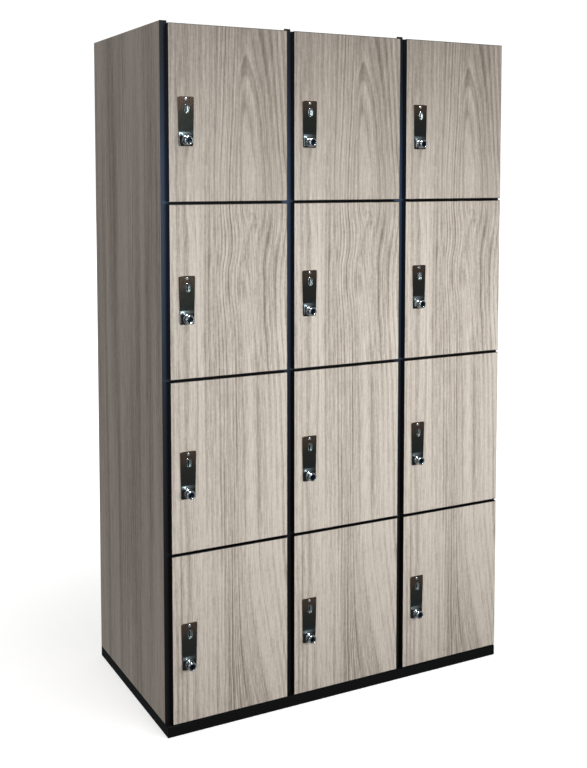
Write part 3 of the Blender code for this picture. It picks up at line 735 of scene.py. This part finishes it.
# -------------------------------------------------------- boards and plinth
softened("left_end_panel", MAT["end"], 0.0008)
softened("right_end_panel", MAT["end"], 0.0008)
softened("top_panel", MAT["end"], 0.0006)
softened("base_plinth", MAT["plinth"], 0.0010, 3)
for name in ("bottom_panel", "back_panel", "divider_1", "divider_2", "shelf_1", "shelf_2", "shelf_3"):
    softened(name, MAT["inner"], 0.0006)
for slot in nodes["front_frame"].material_slots:
    slot.material = MAT["frame"]

# --------------------------------------------------------------------- doors
HINGE_X = HINGE["door_c1_t1"].x
LOCK1 = LOCK["door_c1_t1"]


def door_prototype():
    """The first door, with rounded edges, cut for its lock and leaf."""
    board = box_mesh("door_board", door_low, door_high, 0.0011, 3)
    x = LOCK1.x
    hole = box_mesh("door_hole",
                    (x - 0.0173, FACE_Y - 0.01, LOCK1.z - 0.0106),
                    (x + 0.0173, FACE_Y + 0.05, LOCK1.z + 0.0998))
    leaf_low, leaf_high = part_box("hinge_leaf_c1_t1")
    rebate = box_mesh("door_rebate",
                      (leaf_low.x - 0.0003, FACE_Y + DOOR_T - 0.0019, leaf_low.z - 0.0003),
                      (door_high.x + 0.01, FACE_Y + DOOR_T + 0.01, leaf_high.z + 0.0003))
    return boolean(board, [("DIFFERENCE", hole), ("DIFFERENCE", rebate)], "door_shape")


DOOR = door_prototype()


# --------------------------------------------------------------------- hinge
def leaf_prototype():
    low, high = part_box("hinge_leaf_c1_t1")
    axis = HINGE["door_c1_t1"]
    back = axis.y + 0.0035
    strip = box_mesh("leaf_strip", (low.x, back - 0.0013, low.z),
                     (door_high.x - 0.0006, back, high.z), 0.0003, 1)
    steps = []
    for z in (door_low.z + 0.060, door_high.z - 0.060):
        tab = box_mesh("tab", (door_high.x - 0.002, back - 0.0013, z - 0.015),
                       (axis.x, back - 0.00002, z + 0.015))
        roll = revolve("roll", [(0, -0.015), (0.0032, -0.015), (0.0035, -0.0147),
                                (0.0035, 0.0147), (0.0032, 0.015), (0, 0.015)], 32, "Z")
        roll.transform(Matrix.Translation((axis.x, axis.y, z)))
        steps += [("UNION", tab), ("UNION", roll)]
    for z in (door_low.z + 0.060, door_high.z - 0.060):
        bore = revolve("bore", [(0, -0.02), (0.0022, -0.02), (0.0022, 0.02), (0, 0.02)], 32, "Z")
        bore.transform(Matrix.Translation((axis.x, axis.y, z)))
        steps.append(("DIFFERENCE", bore))
    return boolean(strip, steps, "leaf_shape")


def screw_head(name, radius, rise, sides=24):
    """A raised oval screw head along -Y, with a cross recess."""
    dome = [(0, 0.0), (radius, 0.0), (radius, -rise * 0.25)]
    dome += [(radius * cos(a), -rise * 0.25 - rise * 0.75 * sin(a))
             for a in (pi / 2 * k / 6 for k in range(1, 6))] + [(0, -rise)]
    head = revolve(name, dome, sides)
    cuts = []
    for turn in (0, pi / 2):
        blade = box_mesh("blade", (-radius * 0.62, -rise * 1.6, -radius * 0.13),
                         (radius * 0.62, -rise * 0.35, radius * 0.13))
        blade.transform(Matrix.Rotation(turn, 4, "Y"))
        cuts.append(("DIFFERENCE", blade))
    return boolean(head, cuts, name)


LEAF = leaf_prototype()
LEAF_SCREW = screw_head("leaf_screw_shape", 0.0036, 0.0012, 20)
LEAF_SCREW.transform(Matrix.Rotation(pi, 4, "Z"))     # its head faces the carcass

# ----------------------------------------------------------------- coin lock
# Lock pieces are made about the cylinder's axis in the plane of the door face.
P_TOP, P_FOOT = 0.1115, -0.0145
HALF_TOP, HALF_FOOT = 0.0225, 0.01975


def plate_half(z):
    return HALF_FOOT + (HALF_TOP - HALF_FOOT) * (z - P_FOOT) / (P_TOP - P_FOOT)


def plate_outline(inset):
    return rounded_outline(
        [(-HALF_TOP + inset, P_TOP - inset), (-HALF_FOOT + inset, P_FOOT + inset),
         (HALF_FOOT - inset, P_FOOT + inset), (HALF_TOP - inset, P_TOP - inset)],
        0.0036 - inset * 0.7, 6)


def extrude_outline(name, outline, y0, y1, bevel=0.0, segments=2):
    bm = bmesh.new()
    face = bm.faces.new([bm.verts.new((x, y0, z)) for x, z in outline])
    out = bmesh.ops.extrude_face_region(bm, geom=[face])
    bmesh.ops.translate(bm, verts=[e for e in out["geom"] if isinstance(e, bmesh.types.BMVert)],
                        vec=(0, y1 - y0, 0))
    if bevel:
        rims = [e for e in bm.edges if abs(e.verts[0].co.y - e.verts[1].co.y) < 1e-7]
        bmesh.ops.bevel(bm, geom=rims, offset=bevel, segments=segments, profile=0.5, affect="EDGES")
    return finish_mesh(bm, name)


def plate_prototype():
    """Face plate with a rolled edge, its foot pressed forward in a soft step."""
    bm = bmesh.new()
    rings = []
    for inset, y in ((0.0, -0.0003), (0.0, -0.0015), (0.00015, -0.0019),
                     (0.0004, -0.00215), (0.0008, -0.0023), (0.0012, -0.0023)):
        rings.append([bm.verts.new((x, y, z)) for x, z in plate_outline(inset)])
    for a, b in zip(rings, rings[1:]):
        for i in range(len(a)):
            j = (i + 1) % len(a)
            bm.faces.new((a[i], a[j], b[j], b[i]))
    bm.faces.new(rings[0])
    bm.faces.new(list(reversed(rings[-1])))
    plate = finish_mesh(bm, "plate")

    # the pressed foot: a smooth mound that grows from the left edge and from
    # the ramp above, and carries the barrel
    def smoothstep(v):
        v = min(max(v, 0.0), 1.0)
        return v * v * (3 - 2 * v)

    bm = bmesh.new()
    columns, levels = 26, 24
    z_high, z_low = 0.0225, -0.0134
    top_rows, low_rows = [], []
    for i in range(levels + 1):
        z = z_high + (z_low - z_high) * i / levels
        half = plate_half(z) - 0.0011
        rise_z = smoothstep((z_high - 0.0004 - z) / 0.0105) * smoothstep((z - z_low + 0.0002) / 0.0030)
        top_rows.append([])
        low_rows.append([])
        for k in range(columns + 1):
            x = -half + 2 * half * k / columns
            slack = smoothstep((x + 0.008) / 0.020)       # the ramp is gentler at the right
            rise_z = smoothstep((z_high - 0.0004 - 0.0030 * slack - z) / (0.0100 + 0.0110 * slack))
            rise_z *= smoothstep((z - z_low + 0.0002) / 0.0030)
            rise_x = smoothstep((x + half) / 0.0105) * smoothstep((half - x) / 0.0028)
            rise = 0.0023 * (rise_z * rise_x)
            top_rows[-1].append(bm.verts.new((x, -0.00236 - rise, z)))
            low_rows[-1].append(bm.verts.new((x, -0.0020, z)))
    for rows, turn in ((top_rows, False), (low_rows, True)):
        for r0, r1 in zip(rows, rows[1:]):
            for k in range(columns):
                quad = (r0[k], r0[k + 1], r1[k + 1], r1[k])
                bm.faces.new(tuple(reversed(quad)) if turn else quad)
    rim_top = top_rows[0] + [r[-1] for r in top_rows[1:]] + list(reversed(top_rows[-1]))[1:] + [r[0] for r in reversed(top_rows)][1:-1]
    rim_low = low_rows[0] + [r[-1] for r in low_rows[1:]] + list(reversed(low_rows[-1]))[1:] + [r[0] for r in reversed(low_rows)][1:-1]
    for i in range(len(rim_top)):
        j = (i + 1) % len(rim_top)
        bm.faces.new((rim_top[i], rim_top[j], rim_low[j], rim_low[i]))
    foot = finish_mesh(bm, "foot")

    def bore():
        return revolve("bore", [(0, -0.01), (0.0098, -0.01), (0.0098, 0.01), (0, 0.01)], 48)

    slot = extrude_outline("slot", dish_ring(0.0062, 0.0112), -0.01, 0.01)
    plate = boolean(plate, [("DIFFERENCE", bore()), ("DIFFERENCE", slot)], "plate_shape")
    return plate, boolean(foot, [("DIFFERENCE", bore())], "foot_shape")


def dish_ring(half_width, half_height, squareness=0.62, steps=40):
    """A superellipse about the coin slot's middle."""
    out = []
    for k in range(steps):
        t = 2 * pi * k / steps
        c, v = cos(t), sin(t)
        out.append((0.0022 + half_width * (abs(c) ** squareness) * (1 if c > 0 else -1),
                    P_TOP - 0.031 + half_height * (abs(v) ** squareness) * (1 if v > 0 else -1)))
    return out


def bezel_prototype():
    """Coin slot: a dished escutcheon that narrows to the slit for the coin."""
    bm = bmesh.new()
    # inside wall from the face to the slit, then the outside wall back again
    inside = [(0.00655, 0.01155, -0.0024, 0.66), (0.00635, 0.01135, -0.00262, 0.66), (0.00605, 0.01105, -0.00245, 0.66)]
    for k in range(1, 9):
        t = k / 8
        ease = sin(t * pi / 2)
        inside.append((0.00605 + (0.00175 - 0.00605) * t ** 0.9, 0.01105 + (0.0096 - 0.01105) * t,
                       -0.00245 + 0.0046 * ease, 0.66 - 0.16 * t))
    inside += [(0.0016, 0.0095, 0.0050, 0.46), (0.0016, 0.0095, 0.0120, 0.46)]
    outside = [(0.0021, 0.0100, 0.0120, 0.46), (0.0021, 0.0100, 0.0050, 0.46), (0.0040, 0.0106, 0.0026, 0.55),
               (0.0060, 0.0110, -0.0006, 0.62), (0.0060, 0.0110, -0.0020, 0.66), (0.00655, 0.01155, -0.00235, 0.66)]
    loops = [[bm.verts.new((x, y, z)) for x, z in dish_ring(w, hh, q)] for w, hh, y, q in inside + outside]
    for a, b in zip(loops, loops[1:] + loops[:1]):
        for i in range(len(a)):
            j = (i + 1) % len(a)
            bm.faces.new((a[i], a[j], b[j], b[i]))
    return finish_mesh(bm, "bezel_shape")


def spun_ring(name, profile, sides=48):
    """A closed (radius, y) profile turned about the Y axis."""
    bm = bmesh.new()
    verts = [bm.verts.new((r, y, 0.0)) for r, y in profile]
    edges = [bm.edges.new((verts[i], verts[(i + 1) % len(verts)])) for i in range(len(verts))]
    bmesh.ops.spin(bm, geom=verts + edges, cent=(0, 0, 0), axis=(0, 1, 0),
                   angle=2 * pi, steps=sides, use_merge=True)
    bmesh.ops.remove_doubles(bm, verts=bm.verts, dist=0.000002)
    return finish_mesh(bm, name)


def flank_prototype():
    """Satin sleeve between the plate and the polished mouth of the barrel."""
    y0 = -0.0046
    return spun_ring("flank_shape", [
        (0.0096, y0 + 0.0016), (0.0128, y0 + 0.0016), (0.0128, y0 - 0.0002), (0.0125, y0 - 0.0007),
        (0.0120, y0 - 0.0012), (0.0115, y0 - 0.0020), (0.0111, y0 - 0.0032), (0.0108, y0 - 0.0050),
        (0.01065, y0 - 0.0072), (0.0106, y0 - 0.0095), (0.0107, y0 - 0.0112), (0.0110, y0 - 0.0128),
        (0.0112, y0 - 0.0133), (0.0096, y0 - 0.0133)])


def barrel_prototype():
    """Turned barrel: threaded tail, body and a polished ring at its mouth."""
    y0, end = -0.0046, -0.0225
    outside = [(0.0094, y0 + 0.0020), (0.0094, y0 - 0.0134), (0.0114, y0 - 0.0134), (0.0117, y0 - 0.0137)]
    for k in range(0, 12):
        t = pi / 2 * k / 11
        outside.append((0.0090 + 0.0028 * cos(t), end + 0.0034 - 0.0034 * sin(t)))
    outside += [(0.0084, end + 0.0001), (0.0080, end + 0.0004), (0.0077, end + 0.0009), (0.0076, end + 0.0015)]
    inside = [(0.0076, 0.0237)]
    back = [(0.0098, 0.0237), (0.0098, 0.0198)]
    # threads of the rear boss
    for k in range(5):
        y = 0.0195 - k * 0.0014
        back += [(0.0098, y), (0.0091, y - 0.0007)]
    back += [(0.0098, 0.0120), (0.0098, y0 + 0.0030)]
    return spun_ring("barrel_shape", outside + inside + back)


def case_prototype():
    """Coin case behind the door: rounded box with lid seam and neck, bored for the barrel and cut for the coin."""
    w = 0.017
    low, high = 0.0145, P_TOP - 0.012
    body = box_mesh("case_body", (-w, 0.0186, low), (w, 0.0446, high), 0.0012, 3)
    lid = box_mesh("case_lid", (-w + 0.0006, 0.0440, low + 0.0006), (w - 0.0006, 0.0460, high - 0.0006), 0.0007, 2)
    neck = box_mesh("case_neck", (-w, 0.0005, -0.0103), (w, 0.0200, high), 0.0006, 1)
    return boolean(body, [
        ("UNION", lid), ("UNION", neck),
        ("DIFFERENCE", revolve("bore", [(0, -0.02), (0.0099, -0.02), (0.0099, 0.05), (0, 0.05)], 40)),
        ("DIFFERENCE", box_mesh("slit", (0.0022 - 0.0024, -0.01, P_TOP - 0.031 - 0.0110),
                                (0.0022 + 0.0024, 0.032, P_TOP - 0.031 + 0.0110))),
        ("DIFFERENCE", box_mesh("mouth", (0.0022 - 0.0068, -0.01, P_TOP - 0.031 - 0.0119),
                                (0.0022 + 0.0068, 0.0034, P_TOP - 0.031 + 0.0119))),
    ], "case_shape")


def plug_prototype():
    """Plug face with a chamfered rim, a round dished middle and a keyway."""
    end = -0.0225 + 0.0012
    plug = revolve("plug", [
        (0, end + 0.0007), (0.0036, end + 0.0007), (0.0042, end + 0.0001), (0.0066, end),
        (0.0071, end + 0.0003), (0.0073, end + 0.0008), (0.0073, 0.0234), (0.0050, 0.0234),
        (0.0050, 0.0245), (0, 0.0245)], 48)
    key = box_mesh("key", (-0.00085, end - 0.01, -0.0044), (0.00085, end + 0.0080, 0.0044), 0.0003, 1)
    ward = box_mesh("ward", (-0.0002, end - 0.01, -0.0005), (0.0017, end + 0.0080, 0.0011))
    return boolean(plug, [("DIFFERENCE", key), ("DIFFERENCE", ward)], "plug_shape")


def cam_prototype():
    """Pressed cam with a round tip, hanging down from its hub."""
    tip = 0.0345 - 0.0062
    outline = arc(0, -tip, 0.0062, pi, 2 * pi, 14)
    outline += [(0.0062, -0.0072), (0.0066, -0.0058)]
    outline += arc(0, 0, 0.0085, -pi / 4.6, pi + pi / 4.6, 26)
    outline += [(-0.0066, -0.0058), (-0.0062, -0.0072)]
    cam = extrude_outline("cam", outline, 0.0240, 0.0265, 0.0004, 2)
    hole = revolve("hole", [(0, 0.02), (0.0021, 0.02), (0.0021, 0.03), (0, 0.03)], 24)
    hole.transform(Matrix.Translation((0, 0, -tip)))
    return boolean(cam, [("DIFFERENCE", hole)], "cam_shape")


def nut_prototype():
    corners = [(0.0063 * cos(pi / 3 * k), 0.0063 * sin(pi / 3 * k)) for k in range(6)]
    nut = extrude_outline("nut", corners, 0.0265, 0.0308, 0.0005, 2)
    stud = revolve("stud", [(0, 0.0270), (0.0029, 0.0270), (0.0029, 0.0308), (0.0025, 0.0312), (0, 0.0312)], 24)
    return boolean(nut, [("UNION", stud)], "nut_shape")


(PLATE, FOOT), BEZEL, CASE = plate_prototype(), bezel_prototype(), case_prototype()
FLANK, BARREL = flank_prototype(), barrel_prototype()
PLUG, CAM, NUT = plug_prototype(), cam_prototype(), nut_prototype()
PLATE_SCREW = screw_head("plate_screw_shape", 0.0042, 0.0022, 28)
CASE_SCREW = screw_head("case_screw_shape", 0.0024, 0.0009, 18)
CASE_SCREW.transform(Matrix.Rotation(pi, 4, "Z"))

for column, tier in PLACES:
    where = f"c{column}_t{tier}"
    body, turning = f"door_{where}", f"lock_cylinder_{where}"
    shift = Vector(((column - 1) * PITCH_X, 0, -(tier - 1) * PITCH_Z))
    door = new_object(f"shown_door_{where}", moved(DOOR, shift, f"door_mesh_{where}"),
                      MAT["door"], body, smooth=32)
    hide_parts(f"door_{where}")
    leaf = new_object(f"shown_leaf_{where}", moved(LEAF, shift, f"leaf_mesh_{where}"),
                      MAT["hinge"], body, smooth=40)
    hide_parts(f"hinge_leaf_{where}")
    leaf_low, leaf_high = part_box(f"hinge_leaf_{where}")
    for k in range(5):
        z = leaf_low.z + 0.030 + k * (leaf_high.z - leaf_low.z - 0.060) / 4
        new_object(f"leaf_screw_{where}_{k + 1}",
                   moved(LEAF_SCREW, (leaf_low.x + 0.012, FACE_Y + 0.0177, z), "leaf_screw"),
                   MAT["hinge"], body)
    at = Vector((LOCK[body].x, FACE_Y, LOCK[body].z))
    plate = new_object(f"lock_plate_{where}", moved(PLATE, at, "plate"), MAT["plate"], body, smooth=28)
    barrel = new_object(f"lock_barrel_{where}", moved(BARREL, at, "barrel"), MAT["chrome"], body, smooth=50)
    flank = new_object(f"barrel_sleeve_{where}", moved(FLANK, at, "sleeve"), MAT["flank"], body, smooth=50)
    foot = new_object(f"plate_foot_{where}", moved(FOOT, at, "foot"), MAT["foot"], body, smooth=60)
    bezel = new_object(f"coin_bezel_{where}", moved(BEZEL, at, "bezel"), MAT["bezel"], body, smooth=35)
    case = new_object(f"coin_case_{where}", moved(CASE, at, "case"), MAT["zinc"], body, smooth=35)
    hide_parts(f"coin_lock_{where}")
    new_object(f"plate_screw_{where}", moved(PLATE_SCREW, at + Vector((0, -0.0023, P_TOP - 0.0068)), "plate_screw"),
               MAT["screw"], body, smooth=40)
    for k, (dx, dz) in enumerate(((-0.012, 0.021), (0.012, 0.021), (-0.012, 0.093), (0.012, 0.093))):
        new_object(f"case_screw_{where}_{k + 1}", moved(CASE_SCREW, at + Vector((dx, 0.0459, dz)), "case_screw"),
                   MAT["zinc"], body)
    plug = new_object(f"lock_plug_{where}", moved(PLUG, at, "plug"), MAT["plug"], turning, smooth=35)
    cam = new_object(f"lock_cam_{where}", moved(CAM, at, "cam"), MAT["zinc"], turning, smooth=35)
    new_object(f"cam_nut_{where}", moved(NUT, at, "nut"), MAT["zinc"], turning, smooth=35)
    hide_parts(f"lock_cylinder_{where}")

# --------------------------------------------------------------------- stage
def stage_floor():
    """A pale floor that runs off into the white of the backdrop."""
    m = Material("studio_floor", roughness=0.8, colour=(0.80, 0.80, 0.80))
    x, y, z = m.position()
    grain = m.noise(x * 30.0, y * 30.0, 0.0, detail=4.0)
    away = (x * x + y * y).sqrt().steps(0.5, 2.3)
    m.set("Base Color", m.mix(grain, (0.80, 0.80, 0.80), (0.83, 0.83, 0.825)))
    m.set("Emission Color", (1.0, 1.0, 1.0, 1.0))
    m.set("Emission Strength", away * 0.42 + 0.66)
    m.set("Specular IOR Level", 0.1)
    bm = bmesh.new()
    bmesh.ops.create_grid(bm, x_segments=8, y_segments=8, size=30.0)
    floor = new_object("studio_floor", finish_mesh(bm, "studio_floor"), m.mat, smooth=None)
    if floor.data.polygons[0].normal.z < 0:
        floor.data.flip_normals()
    floor.location.z = -0.0005
    floor.visible_diffuse = False
    floor.visible_glossy = False


def area(name, place, target, size, power, colour=(1, 1, 1), size_y=None, glossy=True, diffuse=True):
    data = bpy.data.lights.new(name, "AREA")
    data.energy, data.color, data.size = power, colour, size
    if size_y:
        data.shape, data.size_y = "RECTANGLE", size_y
    lamp = bpy.data.objects.new(name, data)
    lamp.location = place
    lamp.rotation_euler = (Vector(target) - Vector(place)).to_track_quat("-Z", "Y").to_euler()
    lamp.visible_glossy = glossy
    lamp.visible_diffuse = diffuse
    bpy.context.scene.collection.objects.link(lamp)
    return lamp


def world():
    w = bpy.data.worlds.new("studio")
    bpy.context.scene.world = w
    w.use_nodes = True
    tree = w.node_tree
    tree.nodes.clear()
    out = tree.nodes.new("ShaderNodeOutputWorld")
    seen = tree.nodes.new("ShaderNodeBackground")
    seen.inputs[0].default_value = (1, 1, 1, 1)
    seen.inputs[1].default_value = 1.06
    fill = tree.nodes.new("ShaderNodeBackground")
    fill.inputs[0].default_value = (1.0, 0.985, 0.965, 1)
    fill.inputs[1].default_value = FILL
    mirror = tree.nodes.new("ShaderNodeBackground")
    mirror.inputs[0].default_value = (0.92, 0.96, 1.0, 1)
    mirror.inputs[1].default_value = 0.22
    path = tree.nodes.new("ShaderNodeLightPath")
    first = tree.nodes.new("ShaderNodeMixShader")
    second = tree.nodes.new("ShaderNodeMixShader")
    tree.links.new(path.outputs["Is Glossy Ray"], first.inputs[0])
    tree.links.new(fill.outputs[0], first.inputs[1])
    tree.links.new(mirror.outputs[0], first.inputs[2])
    tree.links.new(path.outputs["Is Camera Ray"], second.inputs[0])
    tree.links.new(first.outputs[0], second.inputs[1])
    tree.links.new(seen.outputs[0], second.inputs[2])
    tree.links.new(second.outputs[0], out.inputs[0])


FILL = 0.34
stage_floor()
world()
# a long low bank of soft light in front, kept off the left side
key = area("key", (0.47, -2.20, 0.98), (-0.80, -0.27, 0.94), 1.95, 26, (0.96, 0.99, 1.0), 0.6, glossy=False)
key.data.spread = radians(150)
# lights that only show in the polished metal
area("sparkle_high", (-0.5, -0.75, 3.6), (0.0, -0.27, 1.0), 0.9, 130, (1.0, 1.0, 1.0), 0.5, diffuse=False)
area("sparkle_front", (0.10, -2.9, 2.0), (0.10, -0.27, 1.2), 0.3, 24, (0.90, 0.98, 1.0), 3.2, diffuse=False)
area("sparkle_left", (-3.2, -1.95, 2.2), (-0.1, -0.27, 1.0), 0.5, 24, (0.95, 0.98, 1.0), 1.6, diffuse=False)

camera_data = bpy.data.cameras.new("camera")
camera_data.lens = 50.72
camera_data.sensor_width = 36.0
camera_data.shift_y = -0.1734
camera = bpy.data.objects.new("camera", camera_data)
camera.location = (-1.5332, -2.8512, 1.4766)
camera.rotation_euler = Euler((radians(90 - 4.0), 0.0, radians(-27.870)), "XYZ")
bpy.context.scene.collection.objects.link(camera)
bpy.context.scene.camera = camera
bpy.context.scene.view_settings.view_transform = "Standard"
